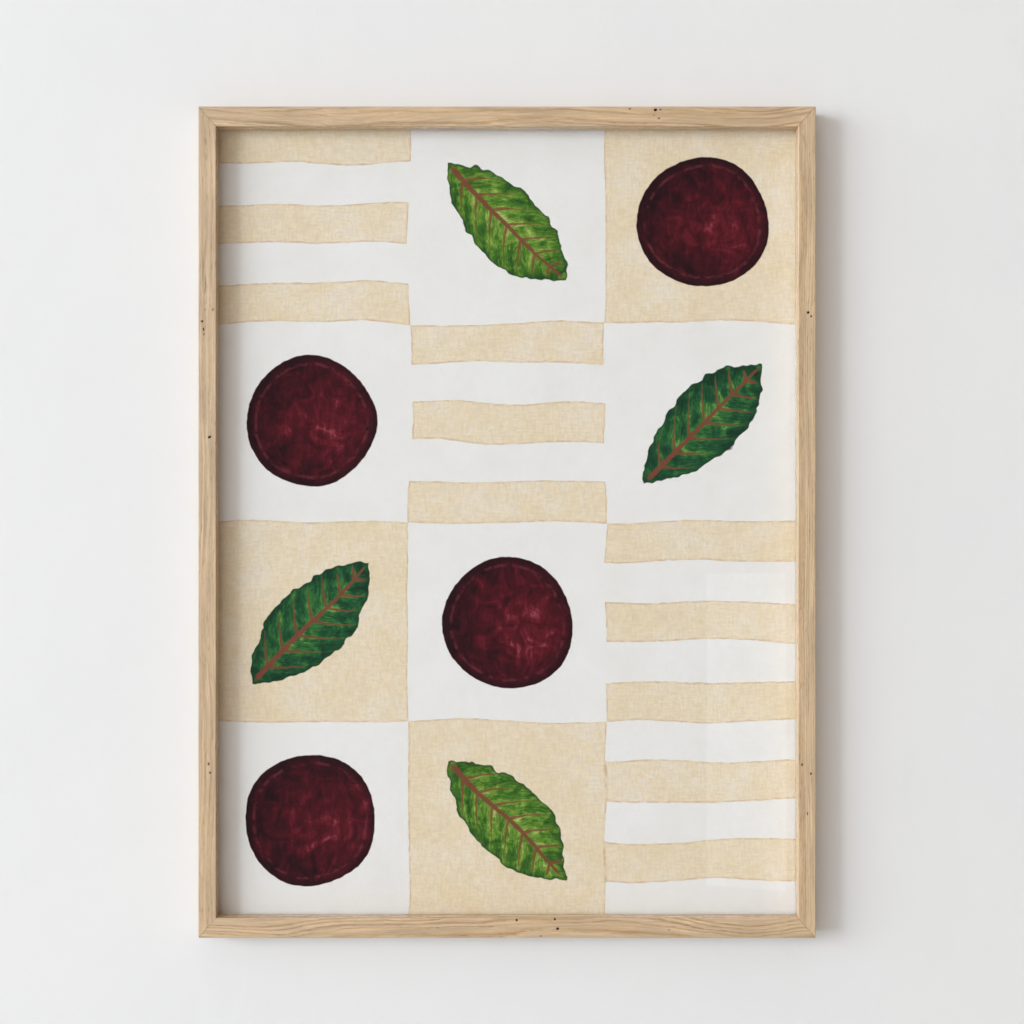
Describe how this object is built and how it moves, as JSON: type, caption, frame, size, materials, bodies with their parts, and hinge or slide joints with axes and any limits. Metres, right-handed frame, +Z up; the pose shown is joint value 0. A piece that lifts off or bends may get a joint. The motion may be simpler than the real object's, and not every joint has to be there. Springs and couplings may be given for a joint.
{
  "type": "framed print",
  "caption": "Wall-hung upright picture frame: slim mitred oak box moulding, deep-set glazing over a full-bleed print, board back with bendable tabs and a sawtooth hanger.",
  "frame": {"origin": "middle of the flat wall side of the sawtooth hanger, on the wall plane, at the middle of the top rail", "axes": "+Z up along the stiles; +Y through the frame into the wall, so the picture faces -Y; +X to the right of someone looking at the picture"},
  "size_m": [0.462, 0.0264, 0.622],
  "materials": {
    "oak": "light oak, planed and sanded, with a thin matt hardwax oil; straight grain along each moulding",
    "glazing": "clear polished picture glass, 2 mm, cut edges faintly green",
    "print_paper": "matt lightly textured art paper with a painted-look print to its edges",
    "fibreboard": "smooth brown hard fibreboard, unfinished, with fine fibres showing",
    "zinc_steel": "bright zinc-plated pressed steel",
    "bumper_rubber": "soft dark rubber, matt"
  },
  "bodies": {
    "root": {"left_stile": "oak", "right_stile": "oak", "top_rail": "oak", "bottom_rail": "oak", "glazing": "glazing", "print_sheet": "print_paper", "backing_board": "fibreboard", "retaining_tab_left_1": "zinc_steel", "retaining_tab_left_2": "zinc_steel", "retaining_tab_left_3": "zinc_steel", "retaining_tab_right_1": "zinc_steel", "retaining_tab_right_2": "zinc_steel", "retaining_tab_right_3": "zinc_steel", "retaining_tab_top_1": "zinc_steel", "retaining_tab_top_2": "zinc_steel", "retaining_tab_bottom_1": "zinc_steel", "retaining_tab_bottom_2": "zinc_steel", "v_nail_top_left": "zinc_steel", "v_nail_top_right": "zinc_steel", "v_nail_bottom_left": "zinc_steel", "v_nail_bottom_right": "zinc_steel", "sawtooth_hanger": "zinc_steel", "hanger_nail_left": "zinc_steel", "hanger_nail_right": "zinc_steel", "wall_bumper_left": "bumper_rubber", "wall_bumper_right": "bumper_rubber"}
  },
  "joints": []
}
